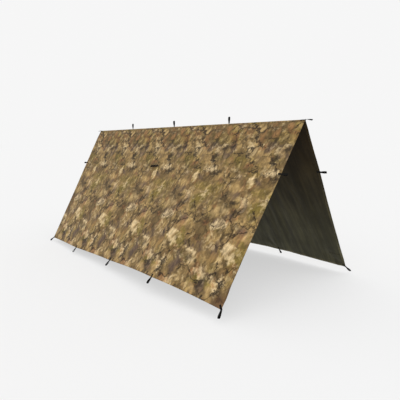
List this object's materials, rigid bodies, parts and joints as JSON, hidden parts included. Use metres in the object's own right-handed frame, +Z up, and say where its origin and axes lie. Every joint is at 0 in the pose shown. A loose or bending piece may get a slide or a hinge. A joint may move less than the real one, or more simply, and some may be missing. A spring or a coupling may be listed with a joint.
{
  "type": "camouflage shelter tarp",
  "caption": "Rectangular camouflage tarp pitched as an open-ended A-frame shelter, with webbing tie-out loops along the ridge, eaves, ends and slopes.",
  "frame": {"origin": "middle of the bounding box in X and Y, at the height of the lowest loop tip, which is the ground", "axes": "+X along the ridge from the back end to the front end, +Y from the near slope to the far slope, +Z up"},
  "size_m": [3.1212, 1.6468, 1.3727],
  "materials": {
    "camo_cloth": "matt coated polyester printed with a leaf and bark camouflage outside, dark olive coating inside",
    "hem_cloth": "matt camouflage cloth, turned and stitched",
    "lining_cloth": "dark olive coated cloth, satin",
    "webbing": "matt black woven webbing"
  },
  "bodies": {
    "near_slope": {"near_slope_panel": "camo_cloth", "near_eave_hem": "hem_cloth", "near_back_hem": "hem_cloth", "near_front_hem": "hem_cloth", "near_back_corner_patch": "lining_cloth", "near_front_corner_patch": "lining_cloth", "near_centre_patch": "lining_cloth", "ridge_seam_cap": "hem_cloth", "near_back_corner_tail": "webbing", "near_back_tail": "webbing", "near_middle_tail": "webbing", "near_front_tail": "webbing", "near_front_corner_tail": "webbing", "near_back_side_tail": "webbing", "near_front_side_tail": "webbing", "near_centre_tail": "webbing", "ridge_back_end_tail": "webbing", "ridge_front_end_tail": "webbing"},
    "far_slope": {"far_slope_panel": "camo_cloth", "far_eave_hem": "hem_cloth", "far_back_hem": "hem_cloth", "far_front_hem": "hem_cloth", "far_back_corner_patch": "lining_cloth", "far_front_corner_patch": "lining_cloth", "far_centre_patch": "lining_cloth", "far_back_corner_tail": "webbing", "far_back_tail": "webbing", "far_middle_tail": "webbing", "far_front_tail": "webbing", "far_front_corner_tail": "webbing", "far_back_side_tail": "webbing", "far_front_side_tail": "webbing", "far_centre_tail": "webbing"},
    "near_back_corner_loop": {"near_back_corner_loop": "webbing"},
    "near_back_loop": {"near_back_loop": "webbing"},
    "near_middle_loop": {"near_middle_loop": "webbing"},
    "near_front_loop": {"near_front_loop": "webbing"},
    "near_front_corner_loop": {"near_front_corner_loop": "webbing"},
    "near_back_side_loop": {"near_back_side_loop": "webbing"},
    "near_front_side_loop": {"near_front_side_loop": "webbing"},
    "near_centre_loop": {"near_centre_loop": "webbing"},
    "far_back_corner_loop": {"far_back_corner_loop": "webbing"},
    "far_back_loop": {"far_back_loop": "webbing"},
    "far_middle_loop": {"far_middle_loop": "webbing"},
    "far_front_loop": {"far_front_loop": "webbing"},
    "far_front_corner_loop": {"far_front_corner_loop": "webbing"},
    "far_back_side_loop": {"far_back_side_loop": "webbing"},
    "far_front_side_loop": {"far_front_side_loop": "webbing"},
    "far_centre_loop": {"far_centre_loop": "webbing"},
    "ridge_back_loop": {"ridge_back_loop": "webbing"},
    "ridge_middle_loop": {"ridge_middle_loop": "webbing"},
    "ridge_front_loop": {"ridge_front_loop": "webbing"},
    "ridge_back_end_loop": {"ridge_back_end_loop": "webbing"},
    "ridge_front_end_loop": {"ridge_front_end_loop": "webbing"}
  },
  "joints": [
    {"name": "ridge_fold", "type": "hinge", "parent": "near_slope", "child": "far_slope", "pos_m": [0, 0.02899, 1.31384], "axis": [1, 0, 0], "range_deg": [-50, 117]},
    {"name": "near_back_corner_swing", "type": "hinge", "parent": "near_slope", "child": "near_back_corner_loop", "pos_m": [-1.45748, -0.66377, 0.04463], "axis": [0.783, -0.3483, -0.5154], "range_deg": [-72, 88]},
    {"name": "near_back_swing", "type": "hinge", "parent": "near_slope", "child": "near_back_loop", "pos_m": [-0.74503, -0.71388, 0.06755], "axis": [0.9983, -0.0476, 0.0328], "range_deg": [-68, 92]},
    {"name": "near_middle_swing", "type": "hinge", "parent": "near_slope", "child": "near_middle_loop", "pos_m": [-0.01304, -0.73189, 0.09357], "axis": [0.9981, -0.0565, 0.0246], "range_deg": [-68, 92]},
    {"name": "near_front_swing", "type": "hinge", "parent": "near_slope", "child": "near_front_loop", "pos_m": [0.71098, -0.7799, 0.1296], "axis": [0.9996, -0.0201, -0.0197], "range_deg": [-68, 92]},
    {"name": "near_front_corner_swing", "type": "hinge", "parent": "near_slope", "child": "near_front_corner_loop", "pos_m": [1.43616, -0.74687, 0.08557], "axis": [0.984, 0.1463, 0.1017], "range_deg": [-74, 86]},
    {"name": "near_back_side_swing", "type": "hinge", "parent": "near_slope", "child": "near_back_side_loop", "pos_m": [-1.48807, -0.18605, 0.92071], "axis": [0.0304, -0.4785, -0.8775], "range_deg": [-76, 82]},
    {"name": "near_front_side_swing", "type": "hinge", "parent": "near_slope", "child": "near_front_side_loop", "pos_m": [1.48156, -0.21177, 0.93345], "axis": [0.0447, 0.5332, 0.8448], "range_deg": [-76, 82]},
    {"name": "near_centre_swing", "type": "hinge", "parent": "near_slope", "child": "near_centre_loop", "pos_m": [-0.0041, -0.21, 0.93776], "axis": [0.3334, -0.5039, -0.7968], "range_deg": [-86, 6]},
    {"name": "far_back_corner_swing", "type": "hinge", "parent": "far_slope", "child": "far_back_corner_loop", "pos_m": [-1.49545, 0.78278, 0.0777], "axis": [-0.7687, -0.3329, 0.5461], "range_deg": [-72, 88]},
    {"name": "far_back_swing", "type": "hinge", "parent": "far_slope", "child": "far_back_loop", "pos_m": [-0.74499, 0.78187, 0.07956], "axis": [-1, 0.0068, -0.0003], "range_deg": [-68, 92]},
    {"name": "far_middle_swing", "type": "hinge", "parent": "far_slope", "child": "far_middle_loop", "pos_m": [0.005, 0.77487, 0.07455], "axis": [-1, 0.0019, -0.0029], "range_deg": [-68, 92]},
    {"name": "far_front_swing", "type": "hinge", "parent": "far_slope", "child": "far_front_loop", "pos_m": [0.75501, 0.78287, 0.07756], "axis": [-1, 0.0052, -0.0005], "range_deg": [-74, 86]},
    {"name": "far_front_corner_swing", "type": "hinge", "parent": "far_slope", "child": "far_front_corner_loop", "pos_m": [1.48335, 0.77482, 0.06262], "axis": [-0.872, 0.2652, -0.4115], "range_deg": [-72, 88]},
    {"name": "far_back_side_swing", "type": "hinge", "parent": "far_slope", "child": "far_back_side_loop", "pos_m": [-1.49984, 0.26294, 0.931], "axis": [-0.0041, -0.5203, 0.854], "range_deg": [-76, 82]},
    {"name": "far_front_side_swing", "type": "hinge", "parent": "far_slope", "child": "far_front_side_loop", "pos_m": [1.49612, 0.26046, 0.92633], "axis": [-0.0124, 0.5116, -0.8591], "range_deg": [-76, 82]},
    {"name": "far_centre_swing", "type": "hinge", "parent": "far_slope", "child": "far_centre_loop", "pos_m": [0.00155, 0.26337, 0.93182], "axis": [-0.3453, -0.4836, 0.8043], "range_deg": [-86, 6]},
    {"name": "ridge_back_swing", "type": "hinge", "parent": "near_slope", "child": "ridge_back_loop", "pos_m": [-0.7505, 0.0253, 1.31662], "axis": [1, 0, 0], "range_deg": [-50, 75]},
    {"name": "ridge_middle_swing", "type": "hinge", "parent": "near_slope", "child": "ridge_middle_loop", "pos_m": [0, 0.0253, 1.31662], "axis": [0.9929, 0, 0.1191], "range_deg": [-50, 75]},
    {"name": "ridge_front_swing", "type": "hinge", "parent": "near_slope", "child": "ridge_front_loop", "pos_m": [0.7505, 0.0253, 1.31662], "axis": [1, 0, 0], "range_deg": [-50, 75]},
    {"name": "ridge_back_end_swing", "type": "hinge", "parent": "near_slope", "child": "ridge_back_end_loop", "pos_m": [-1.5026, 0.02899, 1.31625], "axis": [0, -1, 0], "range_deg": [-75, 75]},
    {"name": "ridge_front_end_swing", "type": "hinge", "parent": "near_slope", "child": "ridge_front_end_loop", "pos_m": [1.5026, 0.02899, 1.31625], "axis": [0, 1, 0], "range_deg": [-75, 75]}
  ]
}
